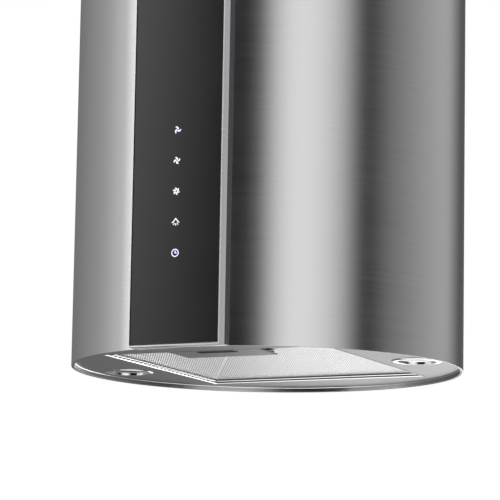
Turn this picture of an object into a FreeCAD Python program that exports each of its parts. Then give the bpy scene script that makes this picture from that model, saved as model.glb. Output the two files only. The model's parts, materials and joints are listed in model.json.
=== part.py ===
"""Cylindrical island range hood, modelled as separate sub-parts.

Millimetres, +Z up. The origin is the centre of the ceiling plate's upper face, the hood hangs below it,
and the touch panel faces -Y. Every size comes from the spreadsheet called Sizes.
"""
import FreeCAD, Part
import Sketcher
import os
import re

from FreeCAD import Placement, Rotation, Vector

SIZES = {
    # heights and the two steel tubes
    "total_height": 860,        # ceiling to the casing's lower edge
    "casing_radius": 195,
    "casing_wall": 1.0,
    "casing_height": 560,
    "sleeve_radius": 192.5,
    "sleeve_wall": 0.8,
    "sleeve_overlap": 120,      # how far the sleeve stands in the casing at rest
    "ceiling_gap": 1.5,          # sleeve's upper edge below the ceiling
    "slot_height": 5,           # air slots near the sleeve's upper edge
    "slot_width": 70,
    "slot_pitch": 11,
    # ceiling plate and telescopic frame
    "ceiling_plate_side": 264,
    "ceiling_plate_thick": 3,
    "duct_window_side": 172,
    "ceiling_bolt_circle": 110,
    "ceiling_hole_radius": 4,
    "post_corner": 118,         # upper post's outer faces from the axis
    "post_flange": 24,
    "post_thick": 2,
    "post_play": 0.2,
    "upper_post_foot": 420,     # below the ceiling
    "lower_post_head": 220,     # below the ceiling
    "post_slot_top": 230,
    "post_slot_length": 150,
    "post_slot_width": 6.5,
    "post_slot_inset": 10,      # slot's centre line from the post's outer corner
    "frame_bolt_radius": 3,
    "frame_bolt_head": 5.5,
    "brace_height": 12,
    "brace_thick": 2,
    # deck that carries the blower, and the round collar on it
    "deck_level": 294,          # deck's upper face above the casing's lower edge
    "deck_radius": 193.6,
    "deck_thick": 2,
    "deck_flange": 20,
    "collar_radius": 74.8,
    "collar_bore": 72.6,
    "collar_height": 60,
    "collar_base": 176,
    "collar_base_thick": 2,
    "flap_level": 5,            # flap seat above the collar's base
    "flap_radius": 71.4,
    "flap_thick": 1.5,
    "flap_rod_radius": 1.5,
    "flap_knuckle_radius": 3.2,
    "flap_play": 0.06,
    # blower
    "blower_level": 165,        # fan axis above the casing's lower edge
    "shell_half_width": 80,
    "shell_wall": 2,
    "scroll_radius": 112,
    "scroll_lobe_radius": 118,
    "scroll_lobe_offset": 8,
    "neck_half_depth": 80,
    "inlet_radius": 78,
    "inlet_ring_bore": 72,
    "inlet_ring_depth": 7,
    "impeller_radius": 100,
    "impeller_bore": 80,
    "impeller_half_width": 68,
    "impeller_plate": 2,
    "hub_radius": 14,
    "shaft_radius": 4,
    "shaft_play": 0.05,
    "motor_radius": 44,
    "motor_outer_face": 88,
    "motor_inner_face": 10,
    "bearing_radius": 11,
    "bearing_width": 7,
    "arm_width": 12,
    "arm_thick": 3,
    "bush_circle": 85,
    "bush_radius": 6,
    # bottom: rim, plate and grease filter
    "rim_radius": 191.6,
    "rim_height": 12,
    "plate_recess": 4.5,        # plate above the casing's lower edge
    "plate_thick": 1,
    "opening_half_width": 119,
    "opening_front": 129,
    "opening_rear": 129,
    "filter_half_width": 118,
    "filter_front": 128,
    "filter_rear": 128,
    "filter_height": 9,
    "lip_level": 3,             # ledge under the meshes, above the filter's lower face
    "lip_thick": 0.8,
    "lip_width": 2,
    "frame_wall": 1.2,
    "mesh_gap": 0.4,
    "mesh_level": 3.9,          # lower mesh above the filter's lower face
    "mesh_thick": 1,
    "core_thick": 2.0,
    "tab_width": 24,
    "tab_offset": 80,
    "tab_reach": 7,
    "latch_half_width": 47.5,
    "latch_gap": 0.4,
    "latch_rear": 80,
    "latch_thick": 1.2,
    "finger_half_width": 20,
    "finger_front": 124,
    "finger_rear": 110,
    "slider_half_width": 40,
    "slider_front": 123,
    "slider_rear": 94,
    "slider_level": 1.7,
    "slider_thick": 1.5,
    "tongue_offset": 29,
    "tongue_width": 10,
    "tongue_reach": 134,
    "latch_spring_radius": 1.2,
    "latch_spring_wire": 0.25,
    # spot lamps
    "lamp_offset": 158,
    "lamp_rearward": 6,
    "bezel_radius": 25,
    "bezel_bore": 19,
    "bezel_thick": 1.2,
    "lamp_radius": 21.2,
    "lamp_height": 30,
    # touch panel
    "glass_front": 212,         # glass face from the hood's axis
    "glass_half_width": 45.2,
    "glass_thick": 4,
    "glass_gap": 1.0,
    "channel_wall": 1.2,
    "channel_depth": 11.5,      # sides of the channel, which stand off the casing on foam
    "seal_width": 6,
    "tape_thick": 2,
    "panel_drop": 1,            # channel's foot below the casing's lower edge
    "key_level": 86.5,          # lowest key above the casing's lower edge
    "key_pitch": 29.4,
    "window_half_width": 24,
    "board_half_width": 30,
    # electrical boxes
    "box_half_width": 70,
    "box_front": 124,
    "box_depth": 38,
    "box_height": 110,
    "box_wall": 2.5,
    "gland_bore": 4.5,
    "gland_radius": 8,
    "gland_length": 28,
}

doc = FreeCAD.newDocument("island_hood")
sheet = doc.addObject("Spreadsheet::Sheet", "Sizes")
for row, (alias, value) in enumerate(SIZES.items(), start=1):
    sheet.set(f"A{row}", alias.replace("_", " "))
    sheet.set(f"B{row}", str(value))
    sheet.setAlias(f"B{row}", alias)
doc.recompute()

# heights that several sub-parts share, worked out from the cells above
RIM = "(-total_height)"
DECK = "(deck_level - total_height)"
FAN = "(blower_level - total_height)"
PLATE = "(plate_recess - total_height)"
LATCH = f"({PLATE} + slider_level)"
MESH = f"({PLATE} + mesh_level)"

ALONG_X = Rotation(Vector(0, 1, 0), 90)     # turns a cylinder's axis from +Z to +X
ALONG_Y = Rotation(Vector(1, 0, 0), -90)    # turns it from +Z to +Y

NODES = {}


def cells(text):
    """Expression text with every size's name sent to the spreadsheet."""
    return re.sub(r"[a-z]+(?:_[a-z]+)+", lambda found: "Sizes." + found.group(0), str(text))


def bind(thing, **expressions):
    for name, text in expressions.items():
        thing.setExpression(name, cells(text))
    return thing


def place(thing, at, turn=None):
    if turn:
        thing.Placement = Placement(Vector(), turn)
    for axis, text in zip("xyz", at):
        thing.setExpression(f"Placement.Base.{axis}", cells(text))
    return thing


def box(size, at):
    """A block of that size whose lowest corner is at that place."""
    block = doc.addObject("Part::Box", "block")
    bind(block, Length=size[0], Width=size[1], Height=size[2])
    return place(block, at)


def span(x, y, z):
    """A block between two values along each axis."""
    sides = [f"({high}) - ({low})" for low, high in (x, y, z)]
    return box(sides, [x[0], y[0], z[0]])


def wide(half_width, y, z):
    """A block centred on the middle plane X = 0."""
    return span((f"-({half_width})", half_width), y, z)


def rod(radius, length, at, turn=None):
    cylinder = doc.addObject("Part::Cylinder", "rod")
    bind(cylinder, Radius=radius, Height=length)
    return place(cylinder, at, turn)


def cut(base, *tools):
    """base less the tools."""
    feature = doc.addObject("Part::Cut", "cut")
    feature.Base = base
    feature.Tool = tools[0] if len(tools) == 1 else fuse(*tools)
    return feature


def fuse(*parts):
    feature = doc.addObject("Part::MultiFuse", "fusion")
    feature.Shapes = list(parts)
    return feature


def common(*parts):
    feature = doc.addObject("Part::MultiCommon", "common")
    feature.Shapes = list(parts)
    return feature


def group(*parts):
    """Separate solids that share one node, such as a set of screws."""
    feature = doc.addObject("Part::Compound", "group")
    feature.Links = list(parts)
    return feature


def tube(outer, inner, length, at, turn=None):
    return cut(rod(outer, length, at, turn), rod(inner, length, at, turn))


def node(name, feature):
    feature.Label = name
    NODES[name] = feature
    return feature


# PartDesign helpers: a body, a sketch on one of its origin planes, and what is drawn in it

def new_body(name):
    return doc.addObject("PartDesign::Body", name)


def new_sketch(body, height="0"):
    """A sketch on the body's XY plane, lifted to a height."""
    sketch = body.newObject("Sketcher::SketchObject", "outline")
    plane = next(f for f in body.Origin.OriginFeatures if f.Role == "XY_Plane")
    sketch.AttachmentSupport = [(plane, "")]
    sketch.MapMode = "FlatFace"
    sketch.setExpression("AttachmentOffset.Base.z", cells(height))
    return sketch


def draw_circle(sketch, radius, x="0", y="0"):
    index = sketch.addGeometry(Part.Circle(Vector(1, 1, 0), Vector(0, 0, 1), 5), False)
    for kind, text in (("Radius", radius), ("DistanceX", x), ("DistanceY", y)):
        if kind == "Radius":
            number = sketch.addConstraint(Sketcher.Constraint(kind, index, 5.0))
        else:
            number = sketch.addConstraint(Sketcher.Constraint(kind, -1, 1, index, 3, 1.0))
        sketch.setExpression(f"Constraints[{number}]", cells(text))


def draw_outline(sketch, corners):
    """A closed outline of straight lines, each corner held by its two distances from the origin."""
    count = len(corners)
    start = [Vector(10 * i, (7 * i * i) % 31 + 1, 0) for i in range(count)]
    for i in range(count):
        sketch.addGeometry(Part.LineSegment(start[i], start[(i + 1) % count]), False)
    for i in range(count):
        sketch.addConstraint(Sketcher.Constraint("Coincident", i, 2, (i + 1) % count, 1))
    for i, corner in enumerate(corners):
        for kind, text in zip(("DistanceX", "DistanceY"), corner):
            number = sketch.addConstraint(Sketcher.Constraint(kind, -1, 1, i, 1, 1.0))
            sketch.setExpression(f"Constraints[{number}]", cells(text))


def rectangle(x, y):
    return [(x[0], y[0]), (x[1], y[0]), (x[1], y[1]), (x[0], y[1])]


def pad(body, sketch, length):
    feature = body.newObject("PartDesign::Pad", "pad")
    feature.Profile = sketch
    bind(feature, Length=length)
    doc.recompute()
    return feature


def pocket(body, sketch):
    """Cuts the sketch right through the body, both ways."""
    before = body.Shape.Volume
    feature = body.newObject("PartDesign::Pocket", "pocket")
    feature.Profile = sketch
    feature.Type = "ThroughAll"
    feature.Midplane = True
    doc.recompute()
    if not body.Shape.Volume < before:
        raise RuntimeError(f"a pocket in {body.Label} cuts nothing")
    return feature


# ceiling plate and telescopic frame

def ceiling_plate():
    body = new_body("ceiling_plate_sheet")
    half = "ceiling_plate_side / 2"
    outline = new_sketch(body, "-ceiling_plate_thick")
    draw_outline(outline, rectangle((f"-{half}", half), (f"-{half}", half)))
    pad(body, outline, "ceiling_plate_thick")
    window = new_sketch(body)
    edge = "duct_window_side / 2"
    draw_outline(window, rectangle((f"-{edge}", edge), (f"-{edge}", edge)))
    pocket(body, window)
    holes = new_sketch(body)
    for x, y in ((1, 0), (0, 1), (-1, 0), (0, -1)):
        draw_circle(holes, "ceiling_hole_radius", f"ceiling_bolt_circle * {x}", f"ceiling_bolt_circle * {y}")
    pocket(body, holes)
    node("ceiling_plate", body)


QUADRANTS = {"front_left": (-1, -1), "front_right": (1, -1), "rear_left": (-1, 1), "rear_right": (1, 1)}
FRAME_BOLT_LEVELS = ("(post_slot_top + 10)", "(post_slot_top + 60)")
OUTER_CORNER = "(post_corner + post_play + post_thick)"
BOLT_ACROSS = "(post_corner - post_slot_inset)"


def side_span(side, near, far):
    """The stretch between two distances from the axis, on the + or the - side of it."""
    return (near, far) if side > 0 else (f"-({far})", f"-({near})")


def angle_section(corner, flange, side_x, side_y):
    """Outline of an angle bar whose outer corner is at (corner, corner) in its quadrant."""
    reach = ["0", flange, "post_thick"]
    steps = [(0, 0), (1, 0), (1, 2), (2, 2), (2, 1), (0, 1)]
    return [(f"{side_x} * ({corner} - {reach[i]})", f"{side_y} * ({corner} - {reach[j]})") for i, j in steps]


def angle_bar(name, corner, flange, head, foot, sides):
    body = new_body(name)
    section = new_sketch(body, f"-{foot}")
    draw_outline(section, angle_section(corner, flange, *sides))
    pad(body, section, f"{foot} - {head}")
    return body


def upper_post(name, sides):
    """The inner bar, hung from the ceiling plate, with the long slot that the frame bolts slide in."""
    bar = angle_bar(f"upper_bar_{name}", "post_corner", "post_flange", "ceiling_plate_thick", "upper_post_foot", sides)
    half = "post_slot_width / 2"
    x = side_span(sides[0], f"{BOLT_ACROSS} - {half}", f"{BOLT_ACROSS} + {half}")
    y = side_span(sides[1], "post_corner - 2 * post_thick", "post_corner + post_thick")
    slot = span(x, y, ("-(post_slot_top + post_slot_length)", "-post_slot_top"))
    node(f"upper_post_{name}", cut(bar, slot))


def lower_post(name, sides):
    """The outer bar, standing on the deck, bolted to the inner bar."""
    flange = "(post_flange + post_thick)"
    foot = "(total_height - deck_level)"
    bar = angle_bar(f"lower_bar_{name}", OUTER_CORNER, flange, "lower_post_head", foot, sides)
    holes = [frame_bolt_rod(sides, level, "frame_bolt_radius + 0.2", "post_corner - 3 * post_thick", "15")
             for level in FRAME_BOLT_LEVELS]
    node(f"lower_post_{name}", cut(bar, *holes))


def frame_bolt_rod(sides, level, radius, near, length):
    """A rod along Y at a frame bolt's place, from a distance near the axis outwards."""
    start = near if sides[1] > 0 else f"-({near}) - ({length})"
    return rod(radius, length, (f"{sides[0]} * {BOLT_ACROSS}", start, f"-{level}"), ALONG_Y)


def frame_bolts():
    nut_face = "(post_corner - post_thick - post_play)"
    bolts = []
    for sides in QUADRANTS.values():
        for level in FRAME_BOLT_LEVELS:
            shank = frame_bolt_rod(sides, level, "frame_bolt_radius", f"{nut_face} - 6", "14")
            nut = frame_bolt_rod(sides, level, "frame_bolt_head", f"{nut_face} - 5", "5")
            head = frame_bolt_rod(sides, level, "frame_bolt_head", OUTER_CORNER, "4")
            bolts.append(fuse(shank, nut, head))
    node("frame_bolts", group(*bolts))


def square_ring(name, inner_side, outer_side, low):
    """A strip bent into a square round the posts, or inside them."""
    z = (low, f"{low} + brace_height")
    ring = cut(wide(outer_side, (f"-{outer_side}", outer_side), z), wide(inner_side, (f"-{inner_side}", inner_side), z))
    node(name, ring)


def frame():
    ceiling_plate()
    for name, sides in QUADRANTS.items():
        upper_post(name, sides)
        lower_post(name, sides)
    frame_bolts()
    square_ring("lower_brace", OUTER_CORNER, f"({OUTER_CORNER} + brace_thick)", "-(lower_post_head + brace_height)")
    inside = "(post_corner - post_thick)"
    square_ring("upper_brace", f"({inside} - brace_thick)", inside, "-(ceiling_plate_thick + 60)")


# casing, sleeve and rim

def lower_casing():
    shell = tube("casing_radius", "casing_radius - casing_wall", "casing_height", ("0", "0", RIM))
    window = wide("window_half_width + 12", ("-casing_radius", "-casing_radius / 2"),
                  (f"{RIM} + key_level - 26", f"{RIM} + key_level + 4 * key_pitch + 30"))
    node("lower_casing", cut(shell, window, *casing_screw_rods("1.6", "12")))


CASING_SCREW_ANGLES = (50, 130)


def casing_screw_rods(radius, length):
    """Rods through the rear of the casing into the deck's flange, pointing outwards."""
    rods = []
    for angle in CASING_SCREW_ANGLES:
        start = "(deck_radius - 4)"
        at = (f"{start} * cos({angle} deg)", f"{start} * sin({angle} deg)", f"{DECK} - deck_flange / 2")
        rods.append(rod(radius, length, at, Rotation(Vector(0, 0, 1), angle).multiply(ALONG_X)))
    return rods


def casing_screws():
    screws = []
    for shank, angle in zip(casing_screw_rods("1.55", "6"), CASING_SCREW_ANGLES):
        start = "(casing_radius + 0.02)"
        at = (f"{start} * cos({angle} deg)", f"{start} * sin({angle} deg)", f"{DECK} - deck_flange / 2")
        head = rod("3.5", "1.4", at, Rotation(Vector(0, 0, 1), angle).multiply(ALONG_X))
        screws.append(fuse(shank, head))
    node("casing_screws", group(*screws))


def upper_sleeve():
    length = "total_height - casing_height + sleeve_overlap - ceiling_gap"
    foot = f"({RIM} + casing_height - sleeve_overlap)"
    shell = tube("sleeve_radius", "sleeve_radius - sleeve_wall", length, ("0", "0", foot))
    slots = []
    for i in range(5):
        top = f"-(40 + {i} * slot_pitch)"
        slots.append(span(("-2 * sleeve_radius", "2 * sleeve_radius"), ("-slot_width / 2", "slot_width / 2"),
                          (f"{top} - slot_height", top)))
    node("upper_sleeve", cut(shell, *slots))


def sleeve_guides():
    """Four pads inside the casing's upper edge that the sleeve slides past."""
    top = f"({RIM} + casing_height)"
    ring = tube("casing_radius - casing_wall", "sleeve_radius + 0.3", "18", ("0", "0", f"{top} - 20"))
    cross = fuse(span(("-250", "250"), ("-15", "15"), (f"{top} - 30", top)),
                 span(("-15", "15"), ("-250", "250"), (f"{top} - 30", top)))
    node("sleeve_guides", common(ring, cross))


def rim_ring():
    """The casing's turned-in foot, with the ledge that the bottom plate is screwed to."""
    band = tube("casing_radius - casing_wall", "rim_radius", "rim_height", ("0", "0", RIM))
    ledge = tube("rim_radius + 1", "rim_radius - 6", "1.2", ("0", "0", f"{PLATE} + plate_thick"))
    node("rim_ring", fuse(band, ledge))


# touch panel

def panel_heights():
    return f"({RIM} - panel_drop)", f"({RIM} + casing_height)"


def panel_channel():
    """A folded steel channel that carries the glass, closed at both ends down to the casing."""
    low, high = panel_heights()
    side = "(glass_half_width + glass_gap)"
    outer = f"({side} + channel_wall)"
    depth = ("-glass_front", "-casing_radius * 0.9")
    web_face = "(-glass_front + glass_thick + tape_thick)"
    walls = [span(side_span(s, side, outer), ("-glass_front", "-glass_front + channel_depth"), (low, high)) for s in (-1, 1)]
    web = wide(outer, (web_face, f"{web_face} + channel_wall"), (low, high))
    foot = wide(outer, depth, (low, f"{low} + channel_wall"))
    cap = wide(outer, depth, (f"{high} - channel_wall", high))
    bore = rod("casing_radius + 0.02", "casing_height + 40", ("0", "0", f"{RIM} - 20"))
    window = wide("window_half_width", (f"{web_face} - 1", f"{web_face} + 2"),
                  (f"{RIM} + key_level - 14", f"{RIM} + key_level + 4 * key_pitch + 18"))
    node("panel_channel", cut(fuse(*walls, web, foot, cap), bore, window))


def touch_glass():
    low, high = panel_heights()
    gap = "(channel_wall + glass_gap)"
    node("touch_glass", wide("glass_half_width", ("-glass_front", "-glass_front + glass_thick"),
                             (f"{low} + {gap}", f"{high} - {gap}")))


def glass_tape():
    """Foam under the glass, and foam that closes the gap between the channel's sides and the casing."""
    low, high = panel_heights()
    face = "(-glass_front + glass_thick)"
    strips = [span(side_span(s, "glass_half_width - 12", "glass_half_width - 4"), (face, f"{face} + tape_thick"),
                   (f"{low} + 6", f"{high} - 6")) for s in (-1, 1)]
    outer = "glass_half_width + glass_gap + channel_wall - 0.5"
    for side in (-1, 1):
        seal = span(side_span(side, f"{outer} - seal_width", outer), ("-glass_front + channel_depth", "-casing_radius * 0.9"),
                    (f"{low} + channel_wall", f"{high} - channel_wall"))
        strips.append(cut(seal, rod("casing_radius + 0.02", "casing_height + 40", ("0", "0", f"{RIM} - 20"))))
    node("glass_tape", group(*strips))


def key_block():
    """The dark block behind the glass with a light well for each of the five touch keys, its board and lamps."""
    face = "(-glass_front + glass_thick)"
    low, high = f"{RIM} + key_level - 12", f"{RIM} + key_level + 4 * key_pitch + 16"
    block = wide("window_half_width - 1", (face, f"{face} + 5"), (low, high))
    wells = [rod("4.5", "5", ("0", face, f"{RIM} + key_level + {i} * key_pitch"), ALONG_Y) for i in range(5)]
    node("key_light_guide", cut(block, *wells))
    node("touch_board", wide("board_half_width", (f"{face} + 5", f"{face} + 6.6"), (f"{low} - 8", f"{high} + 8")))
    lamps = [wide("2", (f"{face} + 3.8", f"{face} + 5"),
                  (f"{RIM} + key_level + {i} * key_pitch - 2", f"{RIM} + key_level + {i} * key_pitch + 2"))
             for i in range(5)]
    node("key_leds", group(*lamps))


# bottom plate and grease filter

def bottom_plate():
    body = new_body("bottom_sheet")
    disc = new_sketch(body, PLATE)
    draw_circle(disc, "rim_radius - 0.1")
    pad(body, disc, "plate_thick")
    opening = new_sketch(body, PLATE)
    draw_outline(opening, rectangle(("-opening_half_width", "opening_half_width"), ("-opening_front", "opening_rear")))
    pocket(body, opening)
    lamps = new_sketch(body, PLATE)
    for side in (-1, 1):
        draw_circle(lamps, "lamp_radius + 0.3", f"{side} * lamp_offset", "lamp_rearward")
    pocket(body, lamps)
    node("bottom_plate", body)


def filter_box(inset, low, high):
    """A block over the filter's plan, smaller all round by the inset."""
    half = f"filter_half_width - {inset}"
    return wide(half, (f"-(filter_front - {inset})", f"filter_rear - {inset}"), (low, high))


def filter_frame():
    """Aluminium channel folded round the meshes above an open recess, its ledge notched at the front for the latch."""
    top = f"{PLATE} + filter_height"
    ledge = f"{PLATE} + lip_level"
    shell = filter_box("0", PLATE, top)
    window = filter_box("(frame_wall + lip_width)", f"{PLATE} - 1", f"{top} + 1")
    recess = filter_box("frame_wall", f"{PLATE} - 1", ledge)
    groove = filter_box("frame_wall", f"{ledge} + lip_thick", f"{top} - frame_wall")
    notch = wide("latch_half_width + latch_gap", ("-(filter_front - frame_wall)", "-(latch_rear - latch_gap)"),
                 (f"{PLATE} - 1", f"{ledge} + lip_thick + 0.1"))
    slots = [span(side_span(s, "tongue_offset - tongue_width / 2 - 1", "tongue_offset + tongue_width / 2 + 1"),
                  ("-filter_front - 1", "-filter_front + 2 * frame_wall"),
                  (f"{LATCH} - 0.3", f"{LATCH} + slider_thick + 0.3")) for s in (-1, 1)]
    node("filter_frame", cut(shell, window, recess, groove, notch, *slots))


def filter_meshes():
    inset = "frame_wall + mesh_gap"
    top_groove = f"{PLATE} + filter_height - frame_wall - 0.2"
    layers = {
        "filter_mesh_lower": (MESH, f"{MESH} + mesh_thick"),
        "filter_mesh_core": (f"{MESH} + mesh_thick", f"{MESH} + mesh_thick + core_thick"),
        "filter_mesh_upper": (f"{MESH} + mesh_thick + core_thick", top_groove),
    }
    for name, (low, high) in layers.items():
        node(name, filter_box(f"({inset})", low, high))


def filter_rear_tabs():
    """Two tongues on the rear wall that hook over the bottom plate and that the filter turns on."""
    tabs = [span(side_span(s, "tab_offset - tab_width / 2", "tab_offset + tab_width / 2"),
                 ("filter_rear", "filter_rear + tab_reach"), (f"{PLATE} + plate_thick + 0.3", f"{PLATE} + plate_thick + 1.5"))
            for s in (-1, 1)]
    node("filter_rear_tabs", group(*tabs))


def latch_plate():
    """The cover at the filter's front edge, with the finger slot and an upturned lip behind the latch springs."""
    base = wide("latch_half_width", ("-(filter_front - frame_wall)", "-latch_rear"), (PLATE, f"{PLATE} + latch_thick"))
    lip = wide("latch_half_width - 4", ("-latch_rear - latch_thick", "-latch_rear"), (PLATE, f"{PLATE} + 3.7"))
    slot = wide("finger_half_width", ("-finger_front", "-finger_rear"), (f"{PLATE} - 1", f"{PLATE} + 3"))
    node("latch_plate", cut(fuse(base, lip), slot))


def latch_slider():
    """The sprung slide: two tongues reach over the bottom plate, and the finger tab hangs in the slot."""
    z = (LATCH, f"{LATCH} + slider_thick")
    web = wide("slider_half_width", ("-slider_front", "-slider_rear"), z)
    window = wide("finger_half_width", ("-slider_front - 1", "-slider_front + 6"), (f"{z[0]} - 1", f"{z[1]} + 1"))
    tongues = [span(side_span(s, "tongue_offset - tongue_width / 2", "tongue_offset + tongue_width / 2"),
                    ("-tongue_reach", "-slider_front + 1"), z) for s in (-1, 1)]
    tab = wide("finger_half_width - 2", ("-slider_front + 5", "-slider_front + 6.5"), (f"{PLATE} + 0.2", z[1]))
    node("latch_slider", cut(fuse(web, *tongues, tab), window))


def latch_springs():
    """Two coil springs between the slider and the latch plate's lip, each a wire swept along a helix."""
    size = {alias: float(sheet.get(alias)) for alias in SIZES}
    level = size["plate_recess"] - size["total_height"] + size["slider_level"] + size["slider_thick"] / 2
    gap = size["slider_rear"] - size["latch_rear"] - size["latch_thick"]
    wire = size["latch_spring_wire"]
    length = gap - 2.6 * wire
    coils = []
    for side in (-1, 1):
        helix = Part.makeHelix(length / 6, length, size["latch_spring_radius"] - wire)
        profile = Part.Wire(Part.makeCircle(wire, Vector(size["latch_spring_radius"] - wire, 0, 0), Vector(0, 1, 0)))
        coil = Part.Wire(helix.Edges).makePipeShell([profile], True, False)
        coil.Placement = Placement(Vector(side * size["tongue_offset"], -size["slider_rear"] + 1.3 * wire, level), ALONG_Y)
        coils.append(coil)
    feature = doc.addObject("Part::Feature", "springs")
    feature.Shape = Part.makeCompound(coils)
    node("latch_springs", feature)


def grease_filter():
    filter_frame()
    filter_meshes()
    filter_rear_tabs()
    latch_plate()
    latch_slider()
    latch_springs()


# spot lamps

def lamp(name, side):
    centre = (f"{side} * lamp_offset", "lamp_rearward")

    def disc(radius, low, high):
        return rod(radius, f"({high}) - ({low})", (*centre, f"{PLATE} + ({low})"))

    flange = disc("bezel_radius", "-bezel_thick", "0")
    neck = disc("lamp_radius", "0", "7")
    node(f"lamp_bezel_{name}", cut(fuse(flange, neck), disc("bezel_bore", "-bezel_thick - 1", "8")))
    node(f"lamp_lens_{name}", disc("bezel_bore", "-0.4", "1.4"))
    cup = cut(disc("bezel_bore", "1.4", "7"), cone_in_lamp(centre))
    node(f"lamp_reflector_{name}", cup)
    body = disc("lamp_radius", "7", "lamp_height")
    grooves = [cut(disc("lamp_radius + 1", f"{z}", f"{z} + 2"), disc("lamp_radius - 5", f"{z} - 1", f"{z} + 3"))
               for z in (13, 18, 23)]
    node(f"lamp_body_{name}", cut(body, *grooves))


def cone_in_lamp(centre):
    """The reflector's conical well, wide at the lens and narrow at the light source."""
    cone = doc.addObject("Part::Cone", "cone")
    bind(cone, Radius1="bezel_bore - 1", Radius2="6", Height="5.6")
    return place(cone, (*centre, f"{PLATE} + 1.4"))


# blower

def scroll_block(wall, top):
    """The scroll's solid form, smaller by a wall all round, with its neck rising to a height."""
    half = f"shell_half_width - {wall}"
    length = f"2 * ({half})"
    hub = rod(f"scroll_radius - {wall}", length, (f"-({half})", "0", FAN), ALONG_X)
    lobe = rod(f"scroll_lobe_radius - {wall}", length, (f"-({half})", "scroll_lobe_offset", f"{FAN} - 3"), ALONG_X)
    neck = wide(half, (f"-(neck_half_depth - {wall})", f"neck_half_depth - {wall}"), (FAN, top))
    return fuse(hub, lobe, neck)


def blower_shells():
    """The scroll casing, in two halves that meet on the middle plane."""
    underside = f"{DECK} - deck_thick"
    for name, side in (("left", -1), ("right", 1)):
        inlet = rod("inlet_radius", "shell_half_width",
                    ("shell_half_width / 2" if side > 0 else "-shell_half_width * 1.5", "0", FAN), ALONG_X)
        shell = cut(scroll_block("0", underside), scroll_block("shell_wall", f"{underside} + 1"), inlet)
        half_space = span(side_span(side, "0", "shell_half_width + 1"), ("-200", "200"), (RIM, f"{DECK} + 10"))
        node(f"blower_shell_{name}", common(shell, half_space))
        start = "shell_half_width" if side > 0 else "-(shell_half_width + inlet_ring_depth)"
        flange_start = "shell_half_width" if side > 0 else "-(shell_half_width + 2)"
        ring = fuse(rod("inlet_radius + 2", "inlet_ring_depth", (start, "0", FAN), ALONG_X),
                    rod("inlet_radius + 5", "2", (flange_start, "0", FAN), ALONG_X))
        bore = rod("inlet_ring_bore", "60", (f"{side} * shell_half_width - 30", "0", FAN), ALONG_X)
        node(f"inlet_ring_{name}", cut(ring, bore))


BLADES = 30


def impeller():
    """A double-inlet wheel: a middle plate on a hub, blades through it, and a ring at each end."""
    half = "impeller_half_width"
    plate = rod("impeller_radius", "impeller_plate", ("-impeller_plate / 2", "0", FAN), ALONG_X)
    hub = rod("hub_radius", "20", ("-4", "0", FAN), ALONG_X)
    rings = []
    for start in (f"-{half}", f"{half} - 3"):
        outer = rod("impeller_radius", "3", (start, "0", FAN), ALONG_X)
        rings.append(cut(outer, rod("impeller_bore", "3", (start, "0", FAN), ALONG_X)))
    blades = []
    for i in range(BLADES):
        angle = 360.0 / BLADES * i
        blade = doc.addObject("Part::Box", "blade")
        bind(blade, Length=f"2 * {half}", Width="impeller_radius - impeller_bore - 2", Height="1.2")
        turn = Rotation(Vector(1, 0, 0), angle)
        lean = Rotation(Vector(1, 0, 0), 20)
        blade.Placement = Placement(Vector(), turn.multiply(lean))
        start = "(impeller_bore + 1)"
        place(blade, (f"-{half}", f"{start} * cos({angle} deg)", f"{FAN} + {start} * sin({angle} deg)"))
        blades.append(blade)
    bore = rod("shaft_radius", "60", ("-30", "0", FAN), ALONG_X)
    node("impeller", cut(fuse(plate, hub, *rings, *blades), bore))


def motor():
    """The motor stands in the left inlet, on an arm bracket with three rubber bushes, and drives the wheel's plate."""
    outer, inner = "-motor_outer_face", "-motor_inner_face"
    case = rod("motor_radius", "motor_outer_face - motor_inner_face", (outer, "0", FAN), ALONG_X)
    tunnel = rod("shaft_radius + 1", "200", ("-150", "0", FAN), ALONG_X)
    seats = [rod("bearing_radius", "bearing_width", (start, "0", FAN), ALONG_X)
             for start in (outer, f"{inner} - bearing_width")]
    node("motor_case", cut(case, tunnel, *seats))
    bearings = [cut(rod("bearing_radius", "bearing_width", (start, "0", FAN), ALONG_X),
                    rod("shaft_radius + shaft_play", "bearing_width", (start, "0", FAN), ALONG_X))
                for start in (outer, f"{inner} - bearing_width")]
    node("motor_bearings", group(*bearings))
    node("motor_shaft", rod("shaft_radius", "motor_outer_face + 18", ("-motor_outer_face - 2", "0", FAN), ALONG_X))
    hub = rod("motor_radius - 6", "arm_thick", (f"{outer} - arm_thick", "0", FAN), ALONG_X)
    arms, bushes = [], []
    for angle in (90, 210, 330):
        arm = doc.addObject("Part::Box", "arm")
        bind(arm, Length="arm_thick", Width="bush_circle + bush_radius", Height="arm_width")
        arm.Placement = Placement(Vector(), Rotation(Vector(1, 0, 0), angle))
        side = "arm_width / 2"
        place(arm, (f"{outer} - arm_thick", f"{side} * sin({angle} deg)", f"{FAN} - {side} * cos({angle} deg)"))
        arms.append(arm)
        spot = (f"bush_circle * cos({angle} deg)", f"{FAN} + bush_circle * sin({angle} deg)")
        depth = "motor_outer_face - shell_half_width"
        bushes.append(cut(rod("bush_radius", depth, (outer, *spot), ALONG_X),
                          rod("inlet_radius + 5.2", "30", ("-shell_half_width - 25", "0", FAN), ALONG_X)))
    node("motor_bracket", cut(fuse(hub, *arms), tunnel))
    node("motor_bushes", group(*bushes))


def blower():
    blower_shells()
    impeller()
    motor()


# deck, collar and non-return flaps

def support_deck():
    plate = rod("deck_radius", "deck_thick", ("0", "0", f"{DECK} - deck_thick"))
    flange = tube("deck_radius", "deck_radius - deck_thick", "deck_flange", ("0", "0", f"{DECK} - deck_flange"))
    hole = rod("collar_bore", "20", ("0", "0", f"{DECK} - 10"))
    node("support_deck", cut(fuse(plate, flange), hole, *casing_screw_rods("1.6", "12")))


COLLAR = "(deck_level - total_height + collar_base_thick)"
SEAT = f"({COLLAR} + flap_level)"
FLAP_ROD = f"({SEAT} + 3.6)"


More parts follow.
